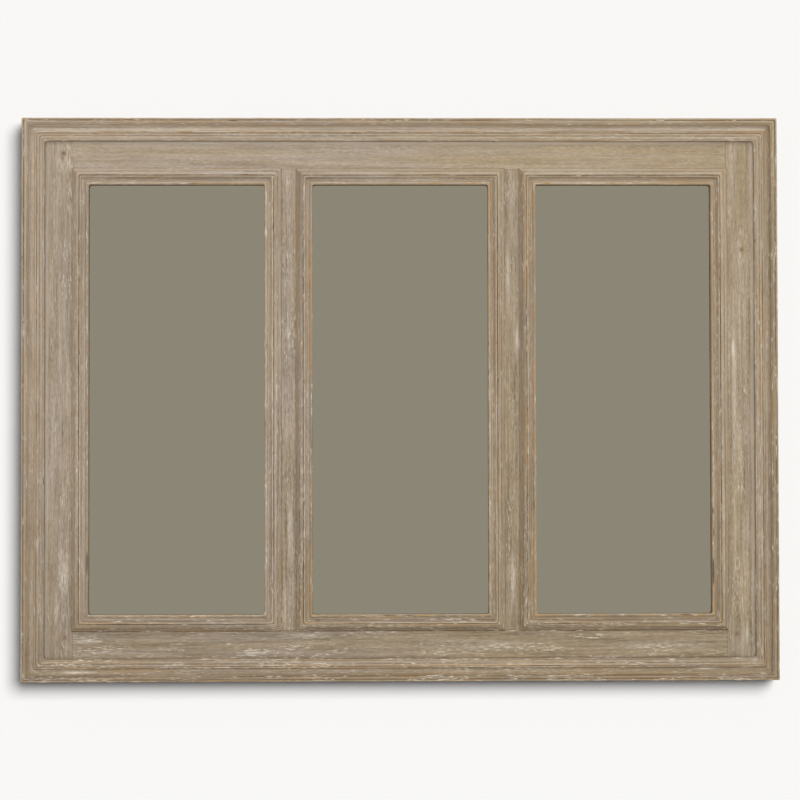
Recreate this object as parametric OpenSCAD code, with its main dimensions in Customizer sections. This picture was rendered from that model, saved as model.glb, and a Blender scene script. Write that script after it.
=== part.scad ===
// Wall mirror of three upright panes in a limed wooden frame.
// Millimetres. X runs to the right as seen from the front, Z up, and the back lies in the plane y = 0,
// so the front faces -Y. The origin is the centre of the back.
// Depths are measured forward from the back, and widths in from the outer edge of the frame.

/* [Overall] */
// Width of the whole frame
frame_w = 1200; // [1000:1:1500]
// Height of the whole frame
frame_h = 893; // [700:1:1100]

/* [Carcass] */
// Width of the two upright stiles
stile_w = 73; // [66:1:110]
// Width of the top and bottom rails
rail_w = 73; // [66:1:110]
// Width of the two uprights between the panes
mullion_w = 26; // [22:1:60]
// Thickness of the carcass boards
board_t = 22; // [20:0.5:28]
// Thickness of every tenon
tenon_t = 8; // [6:0.5:10]
// Length of the tenons on the rails
rail_tenon = 40; // [20:1:50]
// Length of the tenons on the mullions
mullion_tenon = 20; // [12:1:30]
// How much narrower a rail's tenon is than the rail on each edge
rail_shoulder = 12; // [6:1:18]
// How much narrower a mullion's tenon is than the mullion on each edge
mullion_shoulder = 3; // [2:0.5:6]
// Clearance round a tenon in its mortise
tenon_gap = 0.1; // [0.05:0.05:0.3]
// Width of the bevel on the front edge of the ends of the rails and mullions, which marks each butt joint
joint_bevel = 0.6; // [0.2:0.1:1.5]

/* [Outer moulding] */
// Thickness of the lip that covers the outer edge of the carcass
outer_lip = 7; // [4:0.5:10]
// Height of the outer band above the face of the boards
band_rise = 16; // [13:0.5:20]
// Width of the outer band
band_w = 11; // [9.5:0.5:16]
// Radius of the hollow beside the outer band
cove_r = 7.5; // [6:0.5:9]
// Radius of the small bead at the foot of the hollow
bead_r = 2.3; // [1.8:0.1:2.8]
// Radius of the reed beside the bead
reed_r = 3.6; // [3:0.1:4.5]
// Radius of the broad round in the middle of the slope
torus_r = 4.6; // [4:0.1:6]
// Radius of the round at the inner edge
nosing_r = 2.2; // [1.8:0.1:3.2]
// Radius of the two fine lines cut along the outer band
scratch_r = 0.7; // [0.4:0.1:0.9]

/* [Panel moulding] */
// Width of the moulding round each pane
panel_w = 27.2; // [26:0.1:32]
// How far it laps over the edges of the boards
panel_lap = 2; // [1:0.5:4]
// Height of its crest above the face of the boards
crest_rise = 9; // [8:0.5:12]
// Width of the sloping side
slope_w = 5.5; // [4:0.5:7]
// Radius of the round from the slope up to the crest
crest_r = 9.5; // [8.5:0.5:11]
// Width of the flat strip inside the crest
fillet_w = 2.4; // [1.5:0.1:3]
// Depth of the flat strip below the crest
fillet_drop = 1; // [0.5:0.1:1.5]
// Radius of the hollow inside the flat strip
panel_cove_r = 5.4; // [4.5:0.1:6]
// Radius of the bead at the sight edge
sight_bead_r = 2.5; // [2:0.1:3]
// How far that bead stands above the floor of the hollow
sight_bead_stand = 1.7; // [1:0.1:2.5]

/* [Panes and back] */
// Thickness of the mirror glass
glass_t = 4; // [3:0.5:6]
// Depth of the glass face below the face of the boards
glass_set = 6; // [5:0.5:7]
// Gap round each pane in its opening
glass_gap = 1.5; // [1:0.5:3]
// Width of the glazing beads behind the panes
glazing_bead_w = 8; // [6:0.5:9]
// Thickness of the back panel
back_t = 3; // [2.5:0.5:4]
// How far the back panel laps over the boards round the openings
back_lap = 20; // [17:1:30]
// Gap round the back panel in its rebate
back_gap = 0.5; // [0.2:0.1:1]

/* [Screws] */
// Thread diameter of the screws that hold the back panel
back_screw_d = 3.5; // [3:0.5:4]
// Length of those screws
back_screw_len = 15; // [12:1:16]
// Distance from those screws to the edge of the back panel
back_screw_inset = 12; // [8:1:16]
// Thread diameter of the hanger screws
hanger_screw_d = 4; // [3:0.5:4.5]
// Length of the hanger screws
hanger_screw_len = 18; // [14:1:20]
// Clearance between a screw and its hole
screw_gap = 0.1; // [0.05:0.05:0.2]

/* [Hangers] */
// Distance from the top of the frame down to the hinge of the hangers
hanger_drop = 140; // [110:1:250]
// Width of the folded steel strap
strap_w = 14; // [12:0.5:16]
// Length of the strap below the hinge
strap_len = 38; // [34:1:50]
// Thickness of the steel that the strap is folded from
strap_t = 1.2; // [1:0.1:1.5]
// Diameter of the ring's wire
wire_d = 3.5; // [3:0.1:4]
// Width of the ring between the middles of its legs
ring_w = 24; // [22:0.5:28]
// Straight length of the ring's legs, from the hinge
ring_leg = 10; // [8:0.5:14]
// Radius of the bends beside the hinge
ring_bend_r = 3; // [2.5:0.1:3.5]
// Clearance between the wire and the strap rolled round it
hinge_gap = 0.1; // [0.05:0.01:0.1]
// Clearance between the ring and the strap that it hangs against
ring_rest_gap = 0.3; // [0.2:0.1:1]

/* [Wall bumpers] */
// Diameter of the rubber bumpers at the lower corners
bumper_d = 16; // [12:1:24]
// How far the bumpers stand out behind the frame
bumper_h = 7; // [6.5:0.5:10]
// Distance from a bumper's middle to the bottom of the frame
bumper_rise = 40; // [25:1:80]

/* [Hidden] */
$fn = 64;
limed_wood = "#a89a87";
limed_moulding = "#ab9a80";
bare_wood = "#c2a27a";
mirror_glass = "#8c8575";
hardboard = "#80603f";
zinc = "#b9bcbe";
rubber = "#2c2b2a";

BAYS = ["left", "centre", "right"];
SIDES = ["top", "bottom", "left", "right"];

// A cut runs this far past the face that it leaves
over = 1;
// An edge eased to radius r has its centre this share of r in from both faces
ease = 0.95;

// The carcass inside the outer lip, and the three openings in it
carcass_w = frame_w - 2 * outer_lip;
carcass_h = frame_h - 2 * outer_lip;
inner_w = carcass_w - 2 * stile_w;
opening_w = (inner_w - 2 * mullion_w) / 3;
opening_h = carcass_h - 2 * rail_w;
bay_pitch = opening_w + mullion_w;
stile_x = (inner_w + stile_w) / 2;
rail_z = (opening_h + rail_w) / 2;
mullion_x = bay_pitch / 2;
rail_tenon_w = rail_w - 2 * rail_shoulder;
mullion_tenon_w = mullion_w - 2 * mullion_shoulder;
// Tenons lie halfway between the back panel's rebate and the face
tenon_depth = (back_t + board_t) / 2;

// Both sections: a core of solid wood runs under the rounds, this share of a radius above their
// centres, and drops by a small step where a hollow ends. Inner edges are cut back by an undercut.
core = 0.3;
step = 0.5;
undercut = 0.2;

// Outer moulding: each round laps the one before, and their crests fall away inward
lap = 0.62;
crest_fall = 0.2;
cove_lip = 0.4;
bead_gap = 0.3;
bead_stand = 1;
front = board_t + band_rise;
cove_x = band_w + cove_r;
cove_floor = front - cove_lip - cove_r;
bead_x = cove_x + bead_r + bead_gap;
bead_top = cove_floor + bead_stand;
reed_x = bead_x + lap * (bead_r + reed_r);
torus_x = reed_x + lap * (reed_r + torus_r);
nosing_x = torus_x + lap * (torus_r + nosing_r);
outer_w = nosing_x + nosing_r;
rounds = [[bead_x, bead_r], [reed_x, reed_r], [torus_x, torus_r], [nosing_x, nosing_r]];
quirk_x = bead_x + 0.7 * bead_r;
quirk_w = 0.9;
quirk_depth = 1.6;
outer_ease = 1.8;
// The two scratched lines, as shares of the band's width, and how far up their centres lie
scratch_at = [0.33, 0.8];
scratch_up = 0.3 * scratch_r;
function round_top(x) = bead_top - crest_fall * (x - bead_x);

// Panel moulding, measured in from its outer edge
crest_top = board_t + crest_rise;
crest_mid = crest_top - crest_r;
// The slope ends this far below the crest, where the round takes over
slope_stop = 2.2;
slope_top = crest_top - slope_stop;
crest_x = slope_w + sqrt(pow(crest_r, 2) - pow(crest_r - slope_stop, 2));
crest_flat = 0.4;
crest_edge = crest_x + crest_flat;
fillet_top = crest_top - fillet_drop;
crest_quirk_w = 0.8;
crest_quirk_depth = 0.9;
fillet_end = crest_edge + fillet_w + crest_quirk_w;
// The hollow's centre lies this far above the flat strip
panel_cove_up = 0.7;
panel_cove_x = fillet_end + sqrt(pow(panel_cove_r, 2) - pow(panel_cove_up, 2));
panel_cove_floor = fillet_top + panel_cove_up - panel_cove_r;
sight_bead_x = panel_w - sight_bead_r;
sight_bead_top = panel_cove_floor + sight_bead_stand;
glass_face = board_t - glass_set;
glass_back = glass_face - glass_t;

// Back panel and its screws
back_w = inner_w + 2 * back_lap;
back_h = opening_h + 2 * back_lap;
glazing_bead_t = glass_back - back_t;
glazing_ease = 2;
// The end screws stand this far from the corners of the opened area
screw_end = 60;
rail_screw_x = [for (i = [-2:2]) i * (inner_w / 2 - screw_end) / 2];
rail_screw_z = back_h / 2 - back_screw_inset;
stile_screw_x = back_w / 2 - back_screw_inset;
stile_screw_z = [for (i = [-1:1]) i * (opening_h / 2 - screw_end)];
mullion_screw_z = [for (i = [-1, 1]) i * opening_h / 4];
// A countersunk head is twice as wide as its thread, with a short rim above the cone
function head_r(d) = d;
function head_h(d) = 0.6 * d;
function rim_h(d) = 0.1 * d;

// Hangers, on the strip of the stile's back between the outer edge and the back panel
hanger_x = (frame_w / 2 + back_w / 2) / 2;
hanger_z = frame_h / 2 - hanger_drop;
wire_r = wire_d / 2;
bore_r = wire_r + hinge_gap;
knuckle_r = bore_r + strap_t;
hinge_y = knuckle_r;
leaf_t = 2 * strap_t;
ring_r = ring_w / 2;
ring_reach = ring_leg + ring_r;
ring_lean = asin((leaf_t + ring_rest_gap + wire_r - hinge_y) / ring_reach);
strap_screw_z = [for (share = [0.3, 0.72]) -share * strap_len];

// Bumpers
bumper_x = hanger_x;
bumper_z = -frame_h / 2 + bumper_rise;

// A block by its lowest and highest corners, with depths forward from the back
module block(x0, x1, depth0, depth1, z0, z1) {
    translate([x0, -depth1, z0]) cube([x1 - x0, depth1 - depth0, z1 - z0]);
}

// Carries its children from the back plane into the wood at [x, z]
module driven_at(x, z) {
    translate([x, 0, z]) rotate([90, 0, 0]) children();
}

// What is planed off an outside corner of a section to ease it: sx and sy point into the wood
module eased(x, y, r, sx, sy) {
    translate([x, y]) mirror([sx < 0 ? 1 : 0, 0]) mirror([0, sy < 0 ? 1 : 0])
        difference() {
            translate([-over, -over]) square(over + ease * r);
            translate([ease * r, ease * r]) circle(r = r);
        }
}

// A length along X with mitred ends. Its section is drawn with x in from the outer edge, y forward.
module mitred(length, width) {
    intersection() {
        rotate([180, 90, 0])
            linear_extrude(height = length + 2 * over, center = true) children();
        translate([0, over, 0]) rotate([90, 0, 0])
            linear_extrude(height = front + 2 * over)
                polygon([
                    [-length / 2 - over, over],
                    [length / 2 + over, over],
                    [length / 2 - width - over, -width - over],
                    [-length / 2 + width + over, -width - over]
                ]);
    }
}

// Turns a length drawn for the top edge on to one side of a w by h rectangle
module on_side(side, w, h) {
    turn = side == "top" ? 0 : side == "bottom" ? 180 : side == "left" ? -90 : 90;
    reach = side == "top" || side == "bottom" ? h / 2 : w / 2;
    rotate([0, turn, 0]) translate([0, 0, reach]) children();
}

function side_length(side, w, h) = side == "top" || side == "bottom" ? w : h;
function bay_x(bay) = bay == "left" ? -bay_pitch : bay == "right" ? bay_pitch : 0;

// The shallow rebate in the backs of the boards that the back panel lies in
module back_rebate() {
    w = back_w / 2 + back_gap;
    h = back_h / 2 + back_gap;
    block(-w, w, -over, back_t, -h, h);
}

// A pilot hole for a screw whose head is at the back plane
module pilot(d, length) {
    cylinder(r = d / 2 + screw_gap, h = length + screw_gap);
}

// A tenon, or with gap set the mortise that takes it, from face z0 = 0 upward
module tenon(w, length, gap) {
    block(-w / 2 - gap, w / 2 + gap, tenon_depth - tenon_t / 2 - gap,
        tenon_depth + tenon_t / 2 + gap, -over, length + gap);
}

// What is planed off the front edge of a board's end, across a board w wide that runs along X
module joint_bevel_cut(w) {
    translate([0, -board_t, 0]) linear_extrude(height = w + 2 * over, center = true)
        rotate(45) square(sqrt(2) * joint_bevel, center = true);
}

module stile(side) {
    color(limed_wood)
    difference() {
        block(side * stile_x - stile_w / 2, side * stile_x + stile_w / 2, 0, board_t,
            -carcass_h / 2, carcass_h / 2);
        back_rebate();
        for (end = [-1, 1])
            translate([side * inner_w / 2, 0, end * rail_z]) rotate([0, side * 90, 0])
                tenon(rail_tenon_w, rail_tenon, tenon_gap);
        for (z = stile_screw_z)
            driven_at(side * stile_screw_x, z) pilot(back_screw_d, back_screw_len);
        for (z = strap_screw_z)
            driven_at(side * hanger_x, hanger_z + z) pilot(hanger_screw_d, hanger_screw_len);
    }
}

module rail(end) {
    color(limed_wood)
    difference() {
        union() {
            block(-inner_w / 2, inner_w / 2, 0, board_t,
                end * rail_z - rail_w / 2, end * rail_z + rail_w / 2);
            for (side = [-1, 1])
                translate([side * inner_w / 2, 0, end * rail_z]) rotate([0, side * 90, 0])
                    tenon(rail_tenon_w, rail_tenon, 0);
        }
        back_rebate();
        for (side = [-1, 1]) {
            translate([side * mullion_x, 0, end * opening_h / 2]) rotate([0, end < 0 ? 180 : 0, 0])
                tenon(mullion_tenon_w, mullion_tenon, tenon_gap);
            translate([side * inner_w / 2, 0, end * rail_z]) joint_bevel_cut(rail_w);
        }
        for (x = rail_screw_x)
            driven_at(x, end * rail_screw_z) pilot(back_screw_d, back_screw_len);
    }
}

module mullion(side) {
    color(limed_wood)
    translate([side * mullion_x, 0, 0])
    difference() {
        union() {
            block(-mullion_w / 2, mullion_w / 2, back_t, board_t, -opening_h / 2, opening_h / 2);
            for (end = [-1, 1])
                rotate([0, end < 0 ? 180 : 0, 0]) translate([0, 0, opening_h / 2])
                    tenon(mullion_tenon_w, mullion_tenon, 0);
        }
        for (end = [-1, 1])
            translate([0, 0, end * opening_h / 2]) rotate([0, 90, 0]) joint_bevel_cut(mullion_w);
        for (z = mullion_screw_z)
            driven_at(0, z) pilot(back_screw_d, back_screw_len);
    }
}

// Section of the outer moulding: a lip down the edge, a flat band, a hollow, and four rounds
module outer_section() {
    difference() {
        union() {
            difference() {
                square([cove_x, front]);
                translate([cove_x, front - cove_lip]) circle(r = cove_r);
                for (share = scratch_at)
                    translate([share * band_w, front + scratch_up]) circle(r = scratch_r);
                eased(0, front, outer_ease, 1, -1);
                translate([outer_lip, -over]) square([cove_x, board_t + over]);
            }
            polygon(concat(
                [
                    [outer_lip + undercut, board_t],
                    [outer_w - undercut, board_t],
                    [outer_w - undercut, round_top(nosing_x) - nosing_r]
                ],
                [for (i = [3:-1:0]) core_point(rounds[i][0], round_top(rounds[i][0]), rounds[i][1])],
                [[cove_x - step, cove_floor - step]]
            ));
            for (piece = rounds) section_round(piece[0], round_top(piece[0]), piece[1]);
        }
        translate([quirk_x, bead_top - quirk_depth]) square([quirk_w, quirk_depth + over]);
    }
}

// Where the core of a section passes under a round, by the round's crest
function core_point(x, top, r) = [x, top - (1 - core) * r];

// A round of a section, by its crest, kept above the face of the boards
module section_round(x, top, r) {
    intersection() {
        translate([x, top - r]) circle(r = r);
        translate([x - r - over, board_t]) square([2 * (r + over), front]);
    }
}

module outer_moulding(side) {
    color(limed_moulding)
    on_side(side, frame_w, frame_h)
        mitred(side_length(side, frame_w, frame_h), outer_w) outer_section();
}

// Section of the panel moulding: a slope up to a round crest, a strip, a hollow, and the sight bead.
// It laps over the boards, fills the opening down to the glass, and ends at the sight edge.
module panel_section() {
    difference() {
        union() {
            polygon([
                [0, board_t],
                [panel_lap, board_t],
                [panel_lap, glass_face],
                [panel_w - undercut, glass_face],
                [panel_w - undercut, sight_bead_top - sight_bead_r],
                core_point(sight_bead_x, sight_bead_top, sight_bead_r),
                [panel_cove_x - step, panel_cove_floor - step],
                [crest_x, panel_cove_floor - step],
                [crest_x, slope_top],
                [slope_w, slope_top]
            ]);
            intersection() {
                translate([crest_x, crest_mid]) circle(r = crest_r);
                translate([slope_w, board_t + over]) square([crest_edge - slope_w, front]);
            }
            difference() {
                translate([crest_x - over, board_t])
                    square([panel_cove_x - crest_x + over, fillet_top - board_t]);
                translate([panel_cove_x, panel_cove_floor + panel_cove_r])
                    circle(r = panel_cove_r);
            }
            translate([sight_bead_x, sight_bead_top - sight_bead_r]) circle(r = sight_bead_r);
        }
        translate([crest_edge, fillet_top - crest_quirk_depth])
            square([crest_quirk_w, front]);
    }
}

module panel_moulding(bay, side) {
    w = opening_w + 2 * panel_lap;
    h = opening_h + 2 * panel_lap;
    color(limed_moulding)
    translate([bay_x(bay), 0, 0])
        on_side(side, w, h) mitred(side_length(side, w, h), panel_w) panel_section();
}

module mirror_pane(bay) {
    w = opening_w / 2 - glass_gap;
    h = opening_h / 2 - glass_gap;
    color(mirror_glass)
    translate([bay_x(bay), 0, 0]) block(-w, w, glass_back, glass_face, -h, h);
}

module glazing_bead(bay, side) {
    color(bare_wood)
    translate([bay_x(bay), 0, 0])
        on_side(side, opening_w, opening_h)
            mitred(side_length(side, opening_w, opening_h), glazing_bead_w)
                difference() {
                    translate([0, back_t]) square([glazing_bead_w, glazing_bead_t]);
                    eased(glazing_bead_w, back_t, glazing_ease, -1, 1);
                }
}

// A countersunk wood screw with a cross recess, from its head's face at z = 0 upward
module wood_screw(d, length) {
    slot_w = 0.22 * d;
    slot_depth = 0.4 * d;
    difference() {
        rotate_extrude()
            polygon([
                [0, screw_gap],
                [head_r(d), screw_gap],
                [head_r(d), rim_h(d)],
                [d / 2, head_h(d)],
                [d / 2, length - d],
                [0, length]
            ]);
        for (turn = [0, 90])
            rotate([0, 0, turn]) translate([-d / 2, -slot_w / 2, -over])
                cube([d, slot_w, over + slot_depth]);
    }
}

// The countersunk hole that takes that screw through a sheet
module screw_hole(d, sheet) {
    translate([0, 0, -over])
        cylinder(r = d / 2 + screw_gap, h = sheet + 2 * over);
    translate([0, 0, -over])
        cylinder(r = head_r(d) + screw_gap, h = over + rim_h(d));
    translate([0, 0, rim_h(d)])
        cylinder(r1 = head_r(d) + screw_gap, r2 = d / 2 + screw_gap, h = head_h(d) - rim_h(d));
}

// Carries its children to every screw of the back panel
module at_back_screws() {
    for (x = rail_screw_x, end = [-1, 1]) driven_at(x, end * rail_screw_z) children();
    for (z = stile_screw_z, side = [-1, 1]) driven_at(side * stile_screw_x, z) children();
    for (z = mullion_screw_z, side = [-1, 1]) driven_at(side * mullion_x, z) children();
}

module back_panel() {
    color(hardboard)
    difference() {
        block(-back_w / 2, back_w / 2, 0, back_t, -back_h / 2, back_h / 2);
        at_back_screws() screw_hole(back_screw_d, back_t);
    }
}

module back_panel_screws() {
    color(zinc) at_back_screws() wood_screw(back_screw_d, back_screw_len);
}

// Carries its children to the hinge of one hanger
module at_hanger(side) {
    translate([side * hanger_x, hinge_y, hanger_z]) children();
}

// A strap folded in two round the ring's wire, with a shallow arc at its foot
module hanger_strap(side) {
    foot_r = 0.8 * strap_w;
    // The two leaves run into the roll a little below the hinge's middle
    leaf_start = 0.2 * knuckle_r;
    color(zinc)
    at_hanger(side)
    difference() {
        intersection() {
            rotate([0, 90, 0]) linear_extrude(height = strap_w, center = true)
                difference() {
                    union() {
                        circle(r = knuckle_r);
                        translate([leaf_start, -hinge_y]) square([strap_len, leaf_t]);
                    }
                    circle(r = bore_r);
                }
            translate([0, hinge_y + over, 0]) rotate([90, 0, 0])
                linear_extrude(height = 2 * knuckle_r + 2 * over)
                    union() {
                        translate([-strap_w, -strap_len + foot_r])
                            square([2 * strap_w, strap_len]);
                        translate([0, -strap_len + foot_r]) circle(r = foot_r);
                    }
        }
        for (z = strap_screw_z)
            translate([0, leaf_t - hinge_y, z]) rotate([90, 0, 0])
                screw_hole(hanger_screw_d, leaf_t);
    }
}

module hanger_screws(side) {
    color(zinc)
    for (z = strap_screw_z)
        translate([side * hanger_x, leaf_t, hanger_z + z]) rotate([90, 0, 0])
            wood_screw(hanger_screw_d, hanger_screw_len + leaf_t);
}

// One bend or bow of the ring's wire, swept through an angle in the plane of the ring
module wire_bow(r, angle) {
    rotate([90, 0, 0]) rotate_extrude(angle = angle) translate([r, 0]) circle(r = wire_r);
}

// The D-shaped ring, hanging down and leaning out by ring_lean
module hanger_ring(side) {
    bar = ring_r - ring_bend_r;
    color(zinc)
    at_hanger(side) rotate([ring_lean, 0, 0])
    union() {
        rotate([0, 90, 0]) cylinder(r = wire_r, h = 2 * bar, center = true);
        for (hand = [0, 1]) mirror([hand, 0, 0]) {
            translate([bar, 0, -ring_bend_r]) wire_bow(ring_bend_r, 90);
            translate([ring_r, 0, -ring_leg]) cylinder(r = wire_r, h = ring_leg - ring_bend_r);
        }
        translate([0, 0, -ring_leg]) rotate([0, 180, 0]) wire_bow(ring_r, 180);
    }
}

// A rubber bumper, tapered, with a shallow dimple in its face
module bumper(side) {
    face_r = 0.42 * bumper_d;
    rim = 1;
    chamfer = 0.6;
    dimple_r = 0.17 * bumper_d;
    dimple_depth = 1;
    color(rubber)
    translate([side * bumper_x, 0, bumper_z]) rotate([-90, 0, 0])
        difference() {
            rotate_extrude()
                polygon([
                    [0, 0],
                    [bumper_d / 2, 0],
                    [bumper_d / 2, rim],
                    [face_r, bumper_h - chamfer],
                    [face_r - chamfer, bumper_h],
                    [0, bumper_h]
                ]);
            translate([0, 0, bumper_h - dimple_depth])
                cylinder(r = dimple_r, h = dimple_depth + over);
        }
}

stile(-1);  // left_stile
stile(1);  // right_stile
rail(1);  // top_rail
rail(-1);  // bottom_rail
mullion(-1);  // left_mullion
mullion(1);  // right_mullion
for (s = SIDES)
    outer_moulding(s);
for (b = BAYS, s = SIDES)
    panel_moulding(b, s);
for (b = BAYS)
    mirror_pane(b);
for (b = BAYS, s = SIDES)
    glazing_bead(b, s);
back_panel();
back_panel_screws();
hanger_strap(-1);  // left_hanger_strap
hanger_screws(-1);  // left_hanger_screws
hanger_ring(-1);  // left_hanger_ring
hanger_strap(1);  // right_hanger_strap
hanger_screws(1);  // right_hanger_screws
hanger_ring(1);  // right_hanger_ring
bumper(-1);  // left_bumper
bumper(1);  // right_bumper
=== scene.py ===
"""Looks of a wall mirror with three upright panes in a limed wooden frame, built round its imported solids.

Blender works in metres. Sizes in the classes are millimetres, as on a workshop drawing. X runs to the
right as seen from the front, Z up, the front faces -Y, and the back of the frame lies in the plane y = 0.
"""

import logging
import math
from collections.abc import Iterable
from dataclasses import dataclass, field, replace
from enum import Enum

import bpy
import numpy as np
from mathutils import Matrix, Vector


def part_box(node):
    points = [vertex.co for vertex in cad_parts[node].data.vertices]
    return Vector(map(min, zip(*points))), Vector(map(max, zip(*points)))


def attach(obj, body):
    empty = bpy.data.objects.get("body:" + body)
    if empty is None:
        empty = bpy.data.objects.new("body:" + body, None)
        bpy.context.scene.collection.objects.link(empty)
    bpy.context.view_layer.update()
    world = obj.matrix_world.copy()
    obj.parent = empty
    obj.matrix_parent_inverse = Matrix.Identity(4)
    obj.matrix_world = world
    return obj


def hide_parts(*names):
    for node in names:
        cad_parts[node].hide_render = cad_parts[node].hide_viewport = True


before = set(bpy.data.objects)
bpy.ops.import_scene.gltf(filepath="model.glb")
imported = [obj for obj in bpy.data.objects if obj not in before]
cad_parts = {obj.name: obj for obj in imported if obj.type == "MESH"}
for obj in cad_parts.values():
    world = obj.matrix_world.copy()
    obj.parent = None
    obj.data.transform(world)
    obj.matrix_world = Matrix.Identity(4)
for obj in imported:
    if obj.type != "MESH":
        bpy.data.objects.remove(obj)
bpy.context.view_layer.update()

log = logging.getLogger("mirror")
Colour = tuple[float, float, float, float]
Socket = bpy.types.NodeSocket
Tree = bpy.types.NodeTree
MM = 0.001
BAYS = ("left", "centre", "right")


def linear(code: str) -> Colour:
    """Turns a colour to linear light.

    Args:
        code: sRGB colour as #rrggbb.

    Returns:
        Red, green, blue and alpha 1 in linear light.
    """
    channels = [int(code[i : i + 2], 16) / 255 for i in (1, 3, 5)]
    light = [c / 12.92 if c <= 0.04045 else ((c + 0.055) / 1.055) ** 2.4 for c in channels]
    return (light[0], light[1], light[2], 1.0)


def add(tree: Tree, kind: str, links: dict | None = None, out: int | str = 0,
        **settings: object) -> Socket | None:
    """Adds a shader node with its settings and links.

    Numbers name the inputs whose names repeat or are long. Those of a MapRange are its spans, from 1 to 2 and
    to 3 to 4, and those of a Mix of colours are its share 0 and its colours 6 and 7.

    Args:
        tree: Node tree that takes the node.
        kind: Blender's name for the node, without ShaderNode.
        links: Value or linked socket for each input, by name or number.
        out: Output that is handed on, by name or number.
        **settings: The node's own settings.

    Returns:
        The chosen output of the new node, or nothing where it has none.
    """
    node = tree.nodes.new("ShaderNode" + kind)
    for name, value in settings.items():
        setattr(node, name, value)
    for key, value in (links or {}).items():
        if isinstance(value, Socket):
            tree.links.new(value, node.inputs[key])
        else:
            node.inputs[key].default_value = value
    return node.outputs[out] if len(node.outputs) else None


def new_material(name: str) -> tuple[bpy.types.Material, Tree]:
    """Makes a material with an empty node tree.

    Args:
        name: The material's name.

    Returns:
        The material and its tree.
    """
    material = bpy.data.materials.new(name)
    material.use_nodes = True
    material.node_tree.nodes.clear()
    return material, material.node_tree


def dress(node: str, material: bpy.types.Material) -> None:
    """Gives a solid of the frame its finish.

    Args:
        node: Name of the solid.
        material: The finish.
    """
    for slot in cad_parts[node].material_slots:
        slot.material = material


def size_of(node: str, axis: int) -> float:
    """Measures a solid of the frame.

    Args:
        node: Name of the solid.
        axis: 0 for its width, 1 for its depth and 2 for its height.

    Returns:
        The size in millimetres, to a thousandth.
    """
    low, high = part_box(node)
    return round((high[axis] - low[axis]) / MM, 3)


def step_between(first: str, second: str, axis: int) -> float:
    """Measures how far one solid of the frame starts beyond another.

    Args:
        first: Name of the solid that starts earlier.
        second: Name of the other solid.
        axis: 0 to the right, 1 to the back and 2 upward.

    Returns:
        The distance in millimetres, to a thousandth.
    """
    return round((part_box(second)[0][axis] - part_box(first)[0][axis]) / MM, 3)


def close_material(tree: Tree, colour: Socket, relief: Socket, strength: float, depth: float,
                   **inputs: Socket | float) -> None:
    """Closes an opaque material with its shader and the bump of its relief.

    Args:
        tree: Node tree that takes the nodes.
        colour: The surface's colour.
        relief: The surface's height, from 0 to about 1.
        strength: Strength of the bump.
        depth: How deep the relief is, in millimetres.
        **inputs: The shader's other inputs, by name.
    """
    bump = add(tree, "Bump", {"Strength": strength, "Distance": depth * MM, "Height": relief})
    shader = add(tree, "BsdfPrincipled", {"Base Color": colour, "Normal": bump, **inputs})
    add(tree, "OutputMaterial", {"Surface": shader})


class Along(Enum):
    """Which way the grain of a board runs."""

    UPRIGHT = "upright"
    LEVEL = "level"


class Side(Enum):
    """The four sides of a mitred frame: start corner, direction and inward direction in (x, z)."""

    TOP = ("top", (-1, 1), (1, 0), (0, -1))
    BOTTOM = ("bottom", (1, -1), (-1, 0), (0, 1))
    LEFT = ("left", (-1, -1), (0, 1), (1, 0))
    RIGHT = ("right", (1, 1), (0, -1), (-1, 0))

    @property
    def label(self) -> str:
        """Name of the side in the names of pieces."""
        return self.value[0]

    @property
    def along(self) -> Along:
        """Which way this side runs."""
        return Along.LEVEL if self.value[2][0] else Along.UPRIGHT

    def length(self, width: float, height: float) -> float:
        """Length of this side of a width by height rectangle."""
        return width if self.along is Along.LEVEL else height


# Finishes


@dataclass(frozen=True)
class Knot:
    """A knot or nail mark in a board, by its middle and radius."""

    x: float
    z: float
    radius: float
    depth: float = 0.8


@dataclass(frozen=True)
class Streak:
    """A patch of the board where liming wax stayed thick, drawn out along the grain.

    The wax is torn into flecks, or nearly whole where close is above 0.2. The long pale bands beside the
    outer moulding are painted light, made the same way.
    """

    x: float
    z: float
    length: float
    width: float
    strength: float = 0.8
    close: float = 0.0


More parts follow.
